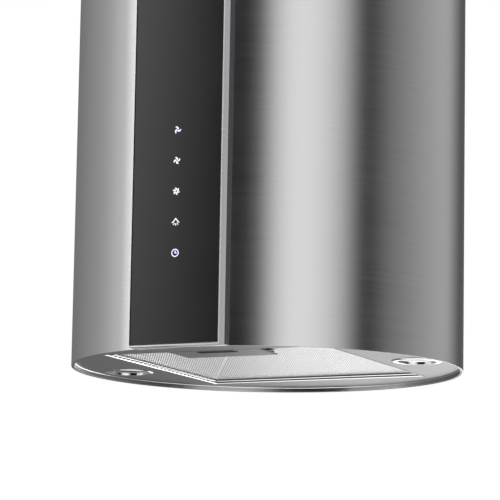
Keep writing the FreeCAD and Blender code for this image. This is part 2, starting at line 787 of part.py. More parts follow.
def outlet_collar():
    """The spigot that the exhaust duct slides over, with the seat that the flaps close on."""
    half = "collar_base / 2"
    base = wide(half, (f"-{half}", half), (DECK, COLLAR))
    wall = rod("collar_radius", "collar_height", ("0", "0", COLLAR))
    bore = rod("collar_bore", "collar_height + 20", ("0", "0", f"{DECK} - 10"))
    seat = tube("collar_bore + 0.5", "collar_bore - 3", "2", ("0", "0", f"{SEAT} - 2"))
    pivot = rod("flap_rod_radius", "2 * collar_radius", ("-collar_radius", "0", FLAP_ROD), ALONG_X)
    node("outlet_collar", cut(fuse(cut(fuse(base, wall), bore), seat), pivot))
    node("flap_rod", rod("flap_rod_radius", "2 * collar_radius", ("-collar_radius", "0", FLAP_ROD), ALONG_X))


KNUCKLES = {"front": (-46, 12), "rear": (-24, 34)}
KNUCKLE_LENGTH = 12


def flap(name, side):
    """A half-disc flap with two knuckles on the shared rod."""
    low, high = f"{SEAT} + 0.2", f"{SEAT} + 0.2 + flap_thick"
    disc = rod("flap_radius", "flap_thick", ("0", "0", low))
    edge = "(flap_knuckle_radius + 0.5)"
    half = common(disc, wide("flap_radius + 1", side_span(side, edge, "flap_radius + 1"), (f"{low} - 1", f"{high} + 1")))
    parts = [half]
    for start in KNUCKLES[name]:
        x = (f"{start}", f"{start + KNUCKLE_LENGTH}")
        parts.append(rod("flap_knuckle_radius", f"{KNUCKLE_LENGTH}", (x[0], "0", FLAP_ROD), ALONG_X))
        parts.append(span(x, side_span(side, "flap_rod_radius", f"{edge} + 1"), (low, high)))
    bore = rod("flap_rod_radius + flap_play", "2 * collar_radius", ("-collar_radius", "0", FLAP_ROD), ALONG_X)
    node(f"{name}_flap", cut(fuse(*parts), bore))


# electrical parts on the deck

def electrics():
    low, high = DECK, f"({DECK} + box_height)"
    rear = "box_front + box_depth"
    outer = wide("box_half_width", ("box_front", rear), (low, high))
    inner = wide("box_half_width - box_wall", ("box_front + box_wall", f"{rear} - box_wall"), (f"{low} + box_wall", f"{high} + 1"))
    node("control_box", cut(outer, inner))
    gland = ("box_half_width - 22", "box_front + box_depth / 2")
    hole = rod("gland_radius + 0.1", "20", (*gland, f"{high} - 8"))
    node("control_box_cover", cut(wide("box_half_width", ("box_front", rear), (high, f"{high} + box_wall")), hole))
    thread = rod("gland_radius", "gland_length", (*gland, f"{high} - 8"))
    collar = rod("gland_radius + 3", "7", (*gland, f"{high} + box_wall"))
    passage = rod("gland_bore", "gland_length + 4", (*gland, f"{high} - 10"))
    node("cable_gland", cut(fuse(thread, collar), passage))
    board_low = f"({low} + box_wall + 6)"
    node("control_board", wide("box_half_width - box_wall - 1", ("box_front + box_wall + 5", "box_front + box_wall + 6.6"),
                               (board_low, f"{high} - 14")))
    node("capacitor", rod("15", "62", ("0", "-150", DECK)))


def build():
    frame()
    lower_casing()
    casing_screws()
    upper_sleeve()
    sleeve_guides()
    rim_ring()
    panel_channel()
    touch_glass()
    glass_tape()
    key_block()
    bottom_plate()
    grease_filter()
    for name, side in (("left", -1), ("right", 1)):
        lamp(name, side)
    blower()
    support_deck()
    outlet_collar()
    for name, side in (("front", -1), ("rear", 1)):
        flap(name, side)
    electrics()
    doc.recompute()


def export():
    failed = [f.Name for f in doc.Objects if {"Invalid", "Error"} & set(f.State)]
    failed += [name for name, f in NODES.items() if f.Shape.isNull() or not f.Shape.isValid() or not f.Shape.Solids]
    if failed:
        raise RuntimeError(f"these did not build: {failed}")
    os.makedirs("parts", exist_ok=True)
    for name, feature in NODES.items():
        feature.Shape.exportStep(os.path.join("parts", name + ".step"))
    print(len(NODES), "nodes written")


build()
export()
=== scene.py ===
"""Looks of the island range hood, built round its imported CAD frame.

Metres, +Z up, ceiling at z = 0, panel facing -Y. Small shapes are given in millimetres and scaled by MM.
"""

import json
import math

import bmesh
import bpy
from mathutils import Matrix, Vector


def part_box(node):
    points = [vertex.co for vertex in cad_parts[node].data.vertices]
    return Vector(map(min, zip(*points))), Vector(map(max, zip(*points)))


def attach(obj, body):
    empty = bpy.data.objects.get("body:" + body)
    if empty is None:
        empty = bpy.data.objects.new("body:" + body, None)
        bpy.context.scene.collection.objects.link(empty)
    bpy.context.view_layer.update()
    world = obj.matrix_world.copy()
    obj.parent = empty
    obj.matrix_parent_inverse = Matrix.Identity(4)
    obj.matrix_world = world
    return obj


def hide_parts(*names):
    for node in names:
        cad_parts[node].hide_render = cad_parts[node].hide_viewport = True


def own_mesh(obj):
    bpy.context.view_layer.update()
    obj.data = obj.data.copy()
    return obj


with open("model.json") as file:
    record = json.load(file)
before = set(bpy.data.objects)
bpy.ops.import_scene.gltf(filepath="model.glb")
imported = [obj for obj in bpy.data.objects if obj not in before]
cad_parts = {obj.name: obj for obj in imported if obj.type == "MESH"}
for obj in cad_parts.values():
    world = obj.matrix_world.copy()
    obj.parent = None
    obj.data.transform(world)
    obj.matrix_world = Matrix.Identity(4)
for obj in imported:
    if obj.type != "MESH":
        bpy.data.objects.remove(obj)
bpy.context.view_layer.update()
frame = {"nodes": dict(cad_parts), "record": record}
nodes = frame["nodes"]
scene = bpy.context.scene
MM = 0.001
VIEW_AZIMUTH = math.radians(24.6)
CASING_RADIUS = 0.195


# ---------------------------------------------------------------- camera

def add_camera():
    """A low view from the front right, looking slightly up."""
    distance, height = 2.970, -1.216
    aim = VIEW_AZIMUTH + math.radians(0.37)
    pitch, roll = math.radians(9.13), math.radians(0.98)
    forward = Vector((-math.sin(aim) * math.cos(pitch), math.cos(aim) * math.cos(pitch), math.sin(pitch)))
    level = Vector((math.cos(aim), math.sin(aim), 0.0))
    upright = level.cross(forward)
    right = level * math.cos(roll) + upright * math.sin(roll)
    up = -level * math.sin(roll) + upright * math.cos(roll)
    data = bpy.data.cameras.new("camera")
    data.lens, data.sensor_width = 216.0, 36.0
    data.clip_start, data.clip_end = 0.05, 100.0
    camera = bpy.data.objects.new("camera", data)
    scene.collection.objects.link(camera)
    place = Matrix((right, up, -forward)).transposed().to_4x4()
    place.translation = (distance * math.sin(VIEW_AZIMUTH), -distance * math.cos(VIEW_AZIMUTH), height)
    camera.matrix_world = place
    scene.camera = camera


# ---------------------------------------------------------------- shader building blocks

def add(tree, kind, values=None, **settings):
    """A shader node with its settings, its sockets linked or filled."""
    made = tree.nodes.new(kind)
    for name, value in settings.items():
        setattr(made, name, value)
    for key, value in (values or {}).items():
        if isinstance(value, bpy.types.NodeSocket):
            tree.links.new(value, made.inputs[key])
        else:
            made.inputs[key].default_value = value
    return made


def calc(tree, operation, *values):
    return add(tree, "ShaderNodeMath", dict(enumerate(values)), operation=operation).outputs[0]


def between(tree, share, one, other):
    """A blend from one value to another."""
    return add(tree, "ShaderNodeMix", {0: share, 2: one, 3: other}).outputs[0]


def ramp(tree, value, start, end, low, high):
    """A straight run from low at start to high at end, flat beyond them."""
    return add(tree, "ShaderNodeMapRange", {0: value, 1: start, 2: end, 3: low, 4: high}).outputs[0]


def rise(tree, value, start, end):
    """A smooth step from 0 at start to 1 at end."""
    limits = {0: value, 1: start, 2: end}
    return add(tree, "ShaderNodeMapRange", limits, interpolation_type="SMOOTHSTEP").outputs[0]


def grey_round(tree, share, stops):
    """Grey level all round from (degrees, level) stops, by the share of the turn from -180 to 180 degrees."""
    scale = add(tree, "ShaderNodeValToRGB", {0: share})
    scale.color_ramp.interpolation = "LINEAR"
    elements = scale.color_ramp.elements
    while len(elements) < len(stops):
        elements.new(0.5)
    top = max(level for _, level in stops)
    for element, (degrees, level) in zip(elements, stops):
        element.position = (degrees + 180) / 360
        element.color = (level / top,) * 3 + (1.0,)
    return calc(tree, "MULTIPLY", scale.outputs["Color"], top)


# ---------------------------------------------------------------- studio, lamps and floor

# Brightness of the studio, by degrees round from the camera's side of the hood: soft boxes with dark gaps.
ROUND_LIGHT = (
    (-180, 0.20), (-150, 0.28), (-118, 0.51), (-107, 0.68), (-99, 0.95), (-93, 0.5), (-54, 0.03), (-30, 0.0),
    (-14, 0.0), (-7, 0.14), (4, 0.92), (12, 1.24), (22, 1.28), (34, 1.10), (43, 0.80), (50, 0.36), (56, 0.04),
    (63, 0.02), (76, 0.22), (94, 0.39), (118, 0.60), (129, 0.66), (137, 0.40), (150, 0.10), (165, 0.12),
    (180, 0.20))
# The same below the horizon on the far side, where it is what the hood's underside shows.
LOW_LIGHT = ((-180, 0.26), (-160, 0.16), (-120, 0.20), (120, 0.60), (160, 0.50), (180, 0.26))


def add_studio():
    """The light that the hood mirrors. The camera itself sees plain white."""
    world = bpy.data.worlds.new("studio")
    world.use_nodes = True
    scene.world = world
    tree = world.node_tree
    tree.nodes.clear()
    direction = add(tree, "ShaderNodeTexCoord").outputs["Generated"]
    way = add(tree, "ShaderNodeSeparateXYZ", {0: direction}).outputs
    turn = calc(tree, "ARCTAN2", way["X"], calc(tree, "MULTIPLY", way["Y"], -1.0))
    degrees = calc(tree, "MULTIPLY", calc(tree, "SUBTRACT", turn, VIEW_AZIMUTH), 180 / math.pi)
    wrapped = calc(tree, "WRAP", degrees, 180.0, -180.0)
    share = calc(tree, "DIVIDE", calc(tree, "ADD", wrapped, 180.0), 360.0)
    downward = calc(tree, "MULTIPLY", way["Z"], -1.0)

    # All but the key box brightens upwards.
    key_box = calc(tree, "MULTIPLY", rise(tree, degrees, -20.0, -2.0),
                   calc(tree, "SUBTRACT", 1.0, rise(tree, degrees, 46.0, 64.0)))
    tilt = ramp(tree, way["Z"], -0.2, 0.7, 0.62, 1.6)
    boxes = calc(tree, "MULTIPLY", grey_round(tree, share, ROUND_LIGHT), between(tree, key_box, tilt, 1.0))

    # A sharp-edged box at the left, mirrored by the glass, fades towards its bottom.
    edges = calc(tree, "MULTIPLY", rise(tree, degrees, -95.0, -91.5),
                 ramp(tree, degrees, -51.85, -50.0, 1.0, 0.01))
    glass_box = calc(tree, "MULTIPLY", edges, ramp(tree, way["Z"], 0.08, 0.27, 0.88, 1.75))
    boxes = calc(tree, "ADD", boxes, glass_box)

    # Behind the hood and below the horizon another round of boxes takes over.
    behind = rise(tree, calc(tree, "ABSOLUTE", calc(tree, "SUBTRACT", share, 0.5)), 0.41, 0.475)
    low = calc(tree, "MULTIPLY", rise(tree, downward, 0.02, 0.14), behind)
    sides = between(tree, low, boxes, grey_round(tree, share, LOW_LIGHT))

    light = between(tree, rise(tree, way["Z"], 0.75, 0.98), sides, 0.9)
    lit = add(tree, "ShaderNodeBackground", {0: light, 1: 1.0})
    plain = add(tree, "ShaderNodeBackground", {0: (1, 1, 1, 1), 1: 1.0})
    seen = add(tree, "ShaderNodeLightPath").outputs["Is Camera Ray"]
    mixed = add(tree, "ShaderNodeMixShader", {0: seen, 1: lit.outputs[0], 2: plain.outputs[0]})
    add(tree, "ShaderNodeOutputWorld", {0: mixed.outputs[0]})
    scene.view_settings.view_transform = "Standard"


def add_light(name, place, target, size, power):
    """A round soft lamp that shows in the metal but not to the camera."""
    data = bpy.data.lights.new(name, "AREA")
    data.shape, data.size, data.energy = "DISK", size, power
    light = bpy.data.objects.new(name, data)
    scene.collection.objects.link(light)
    light.location = place
    light.rotation_euler = (Vector(target) - Vector(place)).to_track_quat("-Z", "Y").to_euler()
    light.visible_camera = False


def add_floor():
    """A plain pale floor a storey below the ceiling, seen only from above."""
    half, level = 12.0, -2.5
    corners = [(-half, -half, level), (half, -half, level), (half, half, level), (-half, half, level)]
    mesh = bpy.data.meshes.new("floor")
    mesh.from_pydata(corners, [], [(0, 1, 2, 3)])
    floor = bpy.data.objects.new("floor", mesh)
    scene.collection.objects.link(floor)
    floor.visible_glossy = False
    material = bpy.data.materials.new("floor_paint")
    material.use_nodes = True
    tree = material.node_tree
    base = tree.nodes["Principled BSDF"]
    base.inputs["Base Color"].default_value = (0.86, 0.86, 0.85, 1)
    base.inputs["Roughness"].default_value = 0.9
    hidden = add(tree, "ShaderNodeBsdfTransparent")
    backface = add(tree, "ShaderNodeNewGeometry").outputs["Backfacing"]
    mixed = add(tree, "ShaderNodeMixShader", {0: backface, 1: base.outputs[0], 2: hidden.outputs[0]})
    tree.links.new(mixed.outputs[0], tree.nodes["Material Output"].inputs["Surface"])
    mesh.materials.append(material)


# ---------------------------------------------------------------- materials

def grey(level, blue=0.005):
    return (level, level, level + blue)


def glow(colour, strength):
    return {"Emission Color": (*colour, 1.0), "Emission Strength": strength}


# The options of surface() for each finish. Some metals are lighter or darker copies of one steel or
# aluminium, coloured to the tone they show in this light: those copies hold painted light and shade, as noted
# at each.
FINISHES = {
    "round_steel": dict(colour=grey(0.60), rough=0.33, metallic=1.0, grain=(7, 30, 380), shade=0.20,
                        spread=0.07, bump=0.22, depth=0.02, detail=4.0, brushed=1.0),
    "rim_steel": dict(colour=grey(0.60), rough=0.26, metallic=1.0, grain=(9, 30, 420), spread=0.03,
                      bump=0.05, depth=0.02, brushed=0.8),
    # channel_steel is a lighter, lilac-tinted copy of the casing steel: painted highlight with a painted
    # reflection's tint.
    "channel_steel": dict(colour=(0.76, 0.75, 0.78), rough=0.26, metallic=1.0, grain=(9, 30, 420), shade=0.03,
                          spread=0.02, brushed=0.95),
    # plate_steel is a darker copy of the casing steel, for the bottom plate, the latch plate and the rim's
    # undersides: painted shade.
    "plate_steel": dict(colour=grey(0.26), rough=0.40, metallic=1.0, grain=(14, 700, 700), spread=0.04,
                        bump=0.06, depth=0.02),
    # bead_steel is a brighter copy of the steel: its white line is partly painted highlight and partly the
    # foot lamp's reflection.
    "bead_steel": dict(colour=grey(0.92, 0.0), rough=0.3, metallic=1.0, grain=300, shade=0.05),
    "slider_steel": dict(colour=grey(0.12), rough=0.35, metallic=0.9, grain=(14, 700, 700), shade=0.08,
                         spread=0.04),
    "screw_steel": dict(colour=grey(0.68, 0.01), rough=0.25, metallic=1.0, grain=600, shade=0.08),
    "zinc_steel": dict(colour=(0.60, 0.62, 0.65), rough=0.36, metallic=1.0, grain=120, shade=0.16, spread=0.1,
                       spangled=True),
    "motor_metal": dict(colour=(0.52, 0.53, 0.55), rough=0.42, metallic=0.9, grain=400, shade=0.12,
                        spread=0.08, bump=0.15),
    "hem_aluminium": dict(colour=grey(0.97, 0.0), rough=0.30, metallic=1.0, grain=300, shade=0.02,
                          spread=0.03),
    # frame_aluminium is a darker copy of the filter's aluminium for the walls of the recess under the mesh:
    # painted shade.
    "frame_aluminium": dict(colour=grey(0.26), rough=0.22, metallic=1.0, grain=(30, 30, 500), shade=0.05,
                            spread=0.04),
    "mesh_aluminium": dict(colour=grey(0.96), rough=0.30, metallic=1.0, grain=900),
    "filter_aluminium": dict(colour=grey(0.86, 0.01), rough=0.32, metallic=1.0, grain=900, shade=0.08,
                             spread=0.08),
    "lamp_chrome": dict(colour=grey(0.72, 0.01), rough=0.08, metallic=1.0, grain=80, shade=0.03, spread=0.02),
    # lamp_bowl is the lamps' chrome darkened near black, for the dark inside of the lamps: painted shade.
    "lamp_bowl": dict(colour=grey(0.08), rough=0.10, metallic=1.0, grain=80, spread=0.03),
    "lamp_black": dict(colour=grey(0.05), rough=0.5, metallic=0.6, grain=900, shade=0.2, bump=0.2),
    "lamp_glass": dict(colour=(0.80, 0.81, 0.82), rough=0.04, grain=200, shade=0.02, spread=0.02,
                       sockets={"Transmission Weight": 1.0, "IOR": 1.3}),
    "lamp_phosphor": dict(colour=(0.85, 0.72, 0.30), rough=0.4, grain=1500, shade=0.08),
    "touch_glass": dict(colour=grey(0.013, 0.001), rough=0.06, grain=25, shade=0.15, spread=0.015,
                        sockets={"IOR": 1.52}),
    "lit_symbol": dict(colour=(0.3, 0.28, 0.5), rough=0.4, grain=900, sockets=glow((0.76, 0.70, 1.0), 1.3)),
    "pale_symbol": dict(colour=grey(0.5, 0.0), rough=0.4, grain=900, sockets=glow((0.62, 0.62, 0.62), 1.25)),
    "led_white": dict(colour=(0.9, 0.92, 1.0), rough=0.3, grain=900, shade=0.04,
                      sockets=glow((0.75, 0.8, 1.0), 2.0)),
    "circuit_board": dict(colour=(0.03, 0.17, 0.07), rough=0.4, grain=260, shade=0.5, bump=0.2,
                          spangled=True),
    "foam_tape": dict(colour=grey(0.10), rough=0.9, grain=1500, shade=0.3, bump=0.4, depth=0.2,
                      spangled=True),
    "black_plastic": dict(colour=grey(0.028, 0.002), rough=0.45, grain=1200, shade=0.15, bump=0.15),
    "blower_plastic": dict(colour=grey(0.11, 0.01), rough=0.5, grain=700, shade=0.12, bump=0.2),
    "box_plastic": dict(colour=grey(0.72, -0.02), rough=0.5, grain=900, shade=0.05, bump=0.15),
    "bush_rubber": dict(colour=grey(0.035, 0.0), rough=0.8, grain=900, shade=0.2, bump=0.2),
}
# Nodes and slots whose finish has another name than their material slot.
# Bottom and latch plates take the darker plate_steel copy (painted shade), the panel channel the lighter
# channel_steel copy (painted highlight), the filter frame the darker frame_aluminium copy (painted shade).
OTHER_FINISH = {
    "steel_casing": "round_steel", "panel_channel": "channel_steel", "bottom_plate": "plate_steel",
    "filter_frame": "frame_aluminium", "latch_plate": "plate_steel", "latch_slider": "slider_steel"}


def round_place(tree, place):
    """A place on the hood as its way round the casing, its distance from the axis and its height."""
    part = add(tree, "ShaderNodeSeparateXYZ", {0: place}).outputs
    turn = calc(tree, "ARCTAN2", part["X"], calc(tree, "MULTIPLY", part["Y"], -1.0))
    squares = [calc(tree, "MULTIPLY", part[axis], part[axis]) for axis in "XY"]
    radius = calc(tree, "SQRT", calc(tree, "ADD", *squares))
    girth = calc(tree, "MULTIPLY", turn, CASING_RADIUS)
    return add(tree, "ShaderNodeCombineXYZ", {0: girth, 1: radius, 2: part["Z"]}).outputs[0]


def surface(name, colour, rough, grain, metallic=0.0, shade=0.06, spread=0.05, bump=0.0, depth=0.05,
            detail=3.0, brushed=0.0, spangled=False, sockets=None):
    """A material whose colour, roughness and relief vary with a grain.

    The grain is in features per metre, in all directions or along X, Y and Z. Metal brushed round the
    hood's axis takes it along the girth, the radius and Z instead, and streaks what it mirrors. Spangled
    means a grain of cells instead of a soft one. The relief's depth is in millimetres.
    """
    material = bpy.data.materials.new(name)
    material.use_nodes = True
    tree = material.node_tree
    shader = tree.nodes["Principled BSDF"]
    place = add(tree, "ShaderNodeTexCoord").outputs["Object"]
    if brushed:
        place = round_place(tree, place)
    density = grain if isinstance(grain, tuple) else (grain,) * 3
    scaled = add(tree, "ShaderNodeVectorMath", {0: place, 1: density}, operation="MULTIPLY").outputs[0]
    if spangled:
        cells = add(tree, "ShaderNodeTexVoronoi", {"Vector": scaled, "Scale": 1.0}).outputs["Color"]
        field = add(tree, "ShaderNodeSeparateColor", {0: cells}).outputs[0]
    else:
        noise = {"Vector": scaled, "Scale": 1.0, "Detail": detail, "Roughness": 0.6}
        field = add(tree, "ShaderNodeTexNoise", noise).outputs["Fac"]
    cloud = add(tree, "ShaderNodeTexNoise", {"Vector": place, "Scale": 9.0, "Detail": 2.0}).outputs["Fac"]
    both = calc(tree, "ADD", calc(tree, "MULTIPLY", field, 0.75), calc(tree, "MULTIPLY", cloud, 0.25))
    dark = tuple(c * (1 - shade) for c in colour) + (1,)
    light = tuple(min(1.0, c * (1 + shade)) for c in colour) + (1,)
    blend = add(tree, "ShaderNodeMix", {0: both, 6: dark, 7: light}, data_type="RGBA")
    tree.links.new(blend.outputs[2], shader.inputs["Base Color"])
    wear = ramp(tree, both, 0.25, 0.75, max(0.02, rough - spread), rough + spread)
    tree.links.new(wear, shader.inputs["Roughness"])
    shader.inputs["Metallic"].default_value = metallic
    if bump:
        relief = add(tree, "ShaderNodeBump", {"Strength": bump, "Distance": depth * MM, "Height": field})
        tree.links.new(relief.outputs[0], shader.inputs["Normal"])
    if brushed:
        around = add(tree, "ShaderNodeTangent", direction_type="RADIAL", axis="Z")
        tree.links.new(around.outputs[0], shader.inputs["Tangent"])
        shader.inputs["Anisotropic"].default_value = brushed
        shader.inputs["Anisotropic Rotation"].default_value = 0.25
    for socket, value in (sockets or {}).items():
        shader.inputs[socket].default_value = value
    return material


def dress_nodes():
    """Gives each CAD node the finish of its own name or of its material slot in the record."""
    for part in frame["record"]["subparts"]:
        slot = part["material_slot"]
        finish = OTHER_FINISH.get(part["node"], OTHER_FINISH.get(slot, slot))
        mesh = nodes[part["node"]].data
        mesh.materials.clear()
        mesh.materials.append(materials[finish])


# ---------------------------------------------------------------- shapes

def show(name, mesh, slot, finish=None, body="hood", replaces=(), crease=8):
    """Puts a finished mesh in the scene, riding on its body and standing for its CAD nodes.

    Edges that turn by more than the crease, in degrees, stay sharp.
    """
    mesh.materials.clear()
    mesh.materials.append(materials[finish or slot])
    mesh.shade_smooth()
    mesh.set_sharp_from_angle(angle=math.radians(crease))
    piece = bpy.data.objects.new(name, mesh)
    scene.collection.objects.link(piece)
    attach(piece, body)
    if replaces:
        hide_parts(*replaces)
    return piece


def built(name, shape, weld=True):
    """A mesh from a bmesh, with normals outwards and, where it is welded, doubles joined."""
    if weld:
        bmesh.ops.remove_doubles(shape, verts=shape.verts, dist=1e-6)
        bmesh.ops.dissolve_degenerate(shape, edges=shape.edges, dist=1e-7)
    bmesh.ops.recalc_face_normals(shape, faces=shape.faces)
    mesh = bpy.data.meshes.new(name)
    shape.to_mesh(mesh)
    shape.free()
    return mesh


def loft(shape, rings):
    """Skins closed rings of points one after another and caps both ends."""
    loops = [[shape.verts.new(point) for point in ring] for ring in rings]
    for loop, other in zip(loops, loops[1:]):
        for j in range(len(loop)):
            k = (j + 1) % len(loop)
            shape.faces.new((loop[j], loop[k], other[k], other[j]))
    shape.faces.new(loops[0])
    shape.faces.new(loops[-1])


def turned(name, profile, count, centre=(0.0, 0.0)):
    """A ring or disc turned about a vertical axis from a closed (radius, height) profile."""
    shape = bmesh.new()
    rings = []
    for i in range(count):
        c, s = math.cos(math.tau * i / count), math.sin(math.tau * i / count)
        rings.append([shape.verts.new((centre[0] + r * c, centre[1] + r * s, z)) for r, z in profile])
    for ring, other in zip(rings, rings[1:] + rings[:1]):
        for j in range(len(profile)):
            k = (j + 1) % len(profile)
            if max(profile[j][0], profile[k][0]) > 1e-9:
                shape.faces.new((ring[j], other[j], other[k], ring[k]))
    return built(name, shape)


def scaled(points, level=0.0):
    """Profile or outline points from millimetres, with heights from a level."""
    return [(a * MM, level + b * MM) for a, b in points]


def arc(x, y, radius, start, end, steps):
    """Points along an arc, angles in degrees."""
    angles = [math.radians(start + (end - start) * i / steps) for i in range(steps + 1)]
    return [(x + radius * math.cos(a), y + radius * math.sin(a)) for a in angles]


def box_outline(low_x, high_x, low_y, high_y, radius):
    corners = ((high_x - radius, high_y - radius, 0), (low_x + radius, high_y - radius, 90),
               (low_x + radius, low_y + radius, 180), (high_x - radius, low_y + radius, 270))
    return [point for x, y, start in corners for point in arc(x, y, radius, start, start + 90, 5)]


def ring_outline(x, y, radius, count=72):
    return arc(x, y, radius, 0, 360, count)[:-1]


def sheet_mesh(name, outlines, low, high, edge, place=Matrix.Identity(4), rounding=2):
    """A flat plate between two levels from outlines that may hold holes, its edges rounded."""
    curve = bpy.data.curves.new(name, "CURVE")
    curve.dimensions, curve.fill_mode = "2D", "BOTH"
    for outline in outlines:
        spline = curve.splines.new("POLY")
        spline.points.add(len(outline) - 1)
        for point, (x, y) in zip(spline.points, outline):
            point.co = (x, y, 0, 1)
        spline.use_cyclic_u = True
    curve.extrude = (high - low) / 2 - edge
    curve.bevel_depth, curve.bevel_resolution, curve.offset = edge, rounding, -edge
    holder = bpy.data.objects.new(name, curve)
    scene.collection.objects.link(holder)
    bpy.context.view_layer.update()
    raw = bpy.data.meshes.new_from_object(holder.evaluated_get(bpy.context.evaluated_depsgraph_get()))
    bpy.data.objects.remove(holder)
    shape = bmesh.new()
    shape.from_mesh(raw)
    bmesh.ops.transform(shape, matrix=place @ Matrix.Translation((0, 0, (low + high) / 2)), verts=shape.verts)
    return built(name, shape)


def clipped(outline, low, high):
    """A convex outline cut to a rectangle."""
    for axis, bound, keep in ((0, low[0], 1), (0, high[0], -1), (1, low[1], 1), (1, high[1], -1)):
        kept = []
        for here, there in zip(outline, outline[1:] + outline[:1]):
            a, b = (here[axis] - bound) * keep, (there[axis] - bound) * keep
            if a >= 0:
                kept.append(here)
            if a * b < 0:
                kept.append(tuple(h + (t - h) * a / (a - b) for h, t in zip(here, there)))
        outline = kept
    return outline


def strand_mesh(name, low, high, pitch, width, lean=0.547):
    """A metal mesh over a box's plan: slanting strands laid over strands that slant the other way."""
    shape = bmesh.new()
    middle, overlap = (low[2] + high[2]) / 2, 0.04 * MM
    run = high[1] - low[1]
    for slant, bottom, top in ((-lean, low[2], middle + overlap), (lean, middle - overlap, high[2])):
        start = low[0] - max(0.0, slant) * run
        for i in range(round((high[0] - low[0] + run * lean) / pitch) + 1):
            foot = start + i * pitch
            head = foot + slant * run
            shoulder = bottom + (top - bottom) * 0.35
            rings = []
            for half, level in ((width * 0.275, bottom), (width / 2, shoulder), (width / 2, top)):
                line = [(foot - half, low[1]), (foot + half, low[1]),
                        (head + half, high[1]), (head - half, high[1])]
                rings.append([(x, y, level) for x, y in clipped(line, low, high)])
            sizes = {len(ring) for ring in rings}
            if min(sizes) > 2 and len(sizes) == 1:
                loft(shape, rings)
    return built(name, shape, weld=False)


def rolled_sheet(name, levels, holes, count=360):
    """Sheet rolled about the hood's axis from (height, outer radius, inner radius) levels.

    Its rectangular holes are given as (first angle, last angle, low, high), in degrees from +X.
    """
    edges = {round(a % 360, 6) for hole in holes for a in hole[:2]}
    angles = sorted({360.0 * i / count for i in range(count)} | edges)
    size = len(angles)
    shape = bmesh.new()
    columns = []
    for a in angles:
        c, s = math.cos(math.radians(a)), math.sin(math.radians(a))
        columns.append([[shape.verts.new((r * c, r * s, z)) for r in radii] for z, *radii in levels])

    def solid(i, j):
        if not 0 <= j < len(levels) - 1:
            return False
        angle = (angles[i] + (angles[(i + 1) % size] or 360.0)) / 2
        height = (levels[j][0] + levels[j + 1][0]) / 2
        return not any((angle - a) % 360 < (b - a) % 360 and low < height < high for a, b, low, high in holes)

    for i in range(size):
        near, far = columns[i], columns[(i + 1) % size]
        for j in range(-1, len(levels)):
            if solid(i, j):
                shape.faces.new((near[j][0], far[j][0], far[j + 1][0], near[j + 1][0]))
                shape.faces.new((near[j][1], near[j + 1][1], far[j + 1][1], far[j][1]))
                if not solid((i + 1) % size, j):
                    shape.faces.new((far[j][0], far[j][1], far[j + 1][1], far[j + 1][0]))
                if not solid(i - 1, j):
                    shape.faces.new((near[j][0], near[j + 1][0], near[j + 1][1], near[j][1]))
            if solid(i, j) != solid(i, j + 1):
                shape.faces.new((near[j + 1][0], far[j + 1][0], far[j + 1][1], near[j + 1][1]))
    for vertex in [v for v in shape.verts if not v.link_faces]:
        shape.verts.remove(vertex)
    return built(name, shape, weld=False)


def soften(names, width):
    """Rounds the sharp edges of CAD nodes by a width in millimetres."""
    for name in names:
        bevel = nodes[name].modifiers.new("soft_edges", "BEVEL")
        bevel.width = width * MM
        bevel.segments = 2
        bevel.limit_method = "ANGLE"
        bevel.angle_limit = math.radians(40)
        bevel.harden_normals = True


# ---------------------------------------------------------------- body

def make_casing():
    """The rolled main tube, with a window behind the control panel and eased edges."""
    low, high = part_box("lower_casing")
    outer, inner, edge = high.x, high.x - MM, 0.4 * MM
    half = math.degrees(math.asin(36 * MM / outer))
    foot, head = low.z + 60.5 * MM, low.z + 234.1 * MM
    eased = ((0.0, edge), (edge * 0.4, edge * 0.2), (edge, 0.0))
    levels = [(low.z + up, outer - back, inner) for up, back in eased]
    levels += [(foot, outer, inner), (head, outer, inner)]
    levels += [(high.z - up, outer - back, inner) for up, back in reversed(eased)]
    mesh = rolled_sheet("casing", levels, [(270 - half, 270 + half, foot, head)])
    show("casing", mesh, "steel_casing", "round_steel", replaces=["lower_casing"])


def make_sleeve():
    """The chimney tube, with five air slots at its left and right."""
    low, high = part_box("upper_sleeve")
    outer, inner = high.x, high.x - 0.8 * MM
    half = math.degrees(math.asin(35 * MM / outer))
    tops = [-(40 + 11 * i) * MM for i in range(5)]
    bands = [(top - 5 * MM, top) for top in tops]
    heights = sorted({low.z, high.z} | {z for band in bands for z in band})
    slots = [(side - half, side + half, *band) for side in (0, 180) for band in bands]
    mesh = rolled_sheet("sleeve", [(z, outer, inner) for z in heights], slots)
    show("sleeve", mesh, "steel_casing", "round_steel", body="sleeve", replaces=["upper_sleeve"])


def make_rim(ledge):
    """The casing's turned-in foot, with a ledge over the bottom plate and a bead in the corner below it."""
    low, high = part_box("rim_ring")
    outer, inner, edge = high.x, 191.6 * MM, 0.8 * MM
    lip, step = inner - 6 * MM, ledge + 1.2 * MM
    profile = arc(inner + edge, low.z + edge, edge, 180, 270, 4)
    profile += arc(outer - edge, low.z + edge, edge, 270, 360, 4)
    profile += [(outer, high.z), (inner, high.z), (inner, step), (lip, step), (lip, ledge), (inner, ledge)]
    fold = turned("rim_fold", profile, 360)
    rim = show("rim_fold", fold, "steel_casing", "rim_steel", replaces=["rim_ring"])
    # The rim's downward faces take the darker plate_steel copy of its steel: painted shade on its underside.
    rim.data.materials.append(materials["plate_steel"])
    for face in rim.data.polygons:
        face.material_index = int(face.normal.z < -0.3)
    bead = ((191.75, -1.6), (191.4, -1.35), (190.95, -0.92), (190.5, -0.45), (190.2, -0.05), (190.2, 0.05),
            (191.75, 0.05))
    ring = turned("plate_bead", scaled(bead, ledge), 360)
    # The bead takes bead_steel, a brighter copy of the steel: painted highlight along with the foot lamp's
    # reflection.
    show("plate_bead", ring, "steel_casing", "bead_steel", crease=30)


